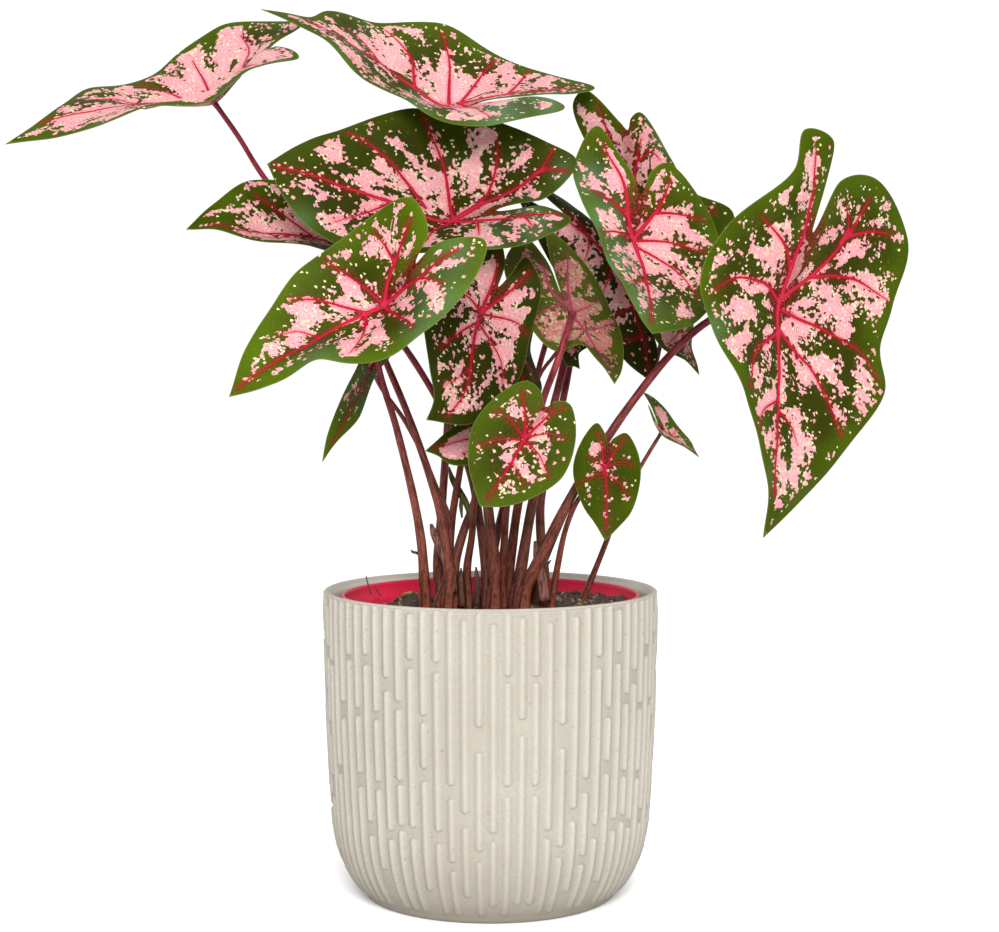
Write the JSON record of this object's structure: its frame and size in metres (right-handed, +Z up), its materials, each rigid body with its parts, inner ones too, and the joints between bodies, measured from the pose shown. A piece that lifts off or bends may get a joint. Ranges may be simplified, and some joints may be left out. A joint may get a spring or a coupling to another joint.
{
  "type": "potted caladium",
  "caption": "Pink and green caladium with heart-shaped leaves on slender stalks, in a ribbed round cover pot with its nursery pot inside.",
  "frame": {"origin": "centre of the cover pot's flat base", "axes": "+Z up along the pot's axis, front towards -Y, +X to the right of a viewer in front"},
  "size_m": [0.3761, 0.1872, 0.3833],
  "materials": {
    "cover_pot": "matte, unglazed cream, finely speckled",
    "nursery_pot": "thin crimson plastic, soft gloss",
    "potting_soil": "dark peat and bark mix with pale grains",
    "tuber": "brown corky skin",
    "leaf_stalk": "crimson above, mottled brown below, waxy",
    "leaf_blade": "pink patches, red veins and a green margin, soft gloss"
  },
  "bodies": {
    "root": {"cover_pot": "cover_pot", "nursery_pot": "nursery_pot", "potting_soil": "potting_soil", "tuber_1": "tuber", "tuber_2": "tuber", "tuber_3": "tuber", "blade_upper_left": "leaf_blade", "blade_crown": "leaf_blade", "blade_broad_centre": "leaf_blade", "blade_left_rear": "leaf_blade", "blade_front_left": "leaf_blade", "blade_centre_hanging": "leaf_blade", "blade_turned_back": "leaf_blade", "blade_tall_right": "leaf_blade", "blade_far_right": "leaf_blade", "blade_rear_right": "leaf_blade", "blade_dark_edge": "leaf_blade", "blade_small_rear": "leaf_blade", "blade_folded_right": "leaf_blade", "blade_small_heart_right": "leaf_blade", "blade_heart_front": "leaf_blade", "blade_low_left": "leaf_blade", "blade_folded_left": "leaf_blade", "blade_shaded_centre": "leaf_blade", "blade_small_dark": "leaf_blade", "stalk_upper_left": "leaf_stalk", "stalk_crown": "leaf_stalk", "stalk_broad_centre": "leaf_stalk", "stalk_left_rear": "leaf_stalk", "stalk_front_left": "leaf_stalk", "stalk_centre_hanging": "leaf_stalk", "stalk_turned_back": "leaf_stalk", "stalk_tall_right": "leaf_stalk", "stalk_far_right": "leaf_stalk", "stalk_rear_right": "leaf_stalk", "stalk_dark_edge": "leaf_stalk", "stalk_small_rear": "leaf_stalk", "stalk_folded_right": "leaf_stalk", "stalk_small_heart_right": "leaf_stalk", "stalk_heart_front": "leaf_stalk", "stalk_low_left": "leaf_stalk", "stalk_folded_left": "leaf_stalk", "stalk_shaded_centre": "leaf_stalk", "stalk_small_dark": "leaf_stalk"}
  },
  "joints": []
}
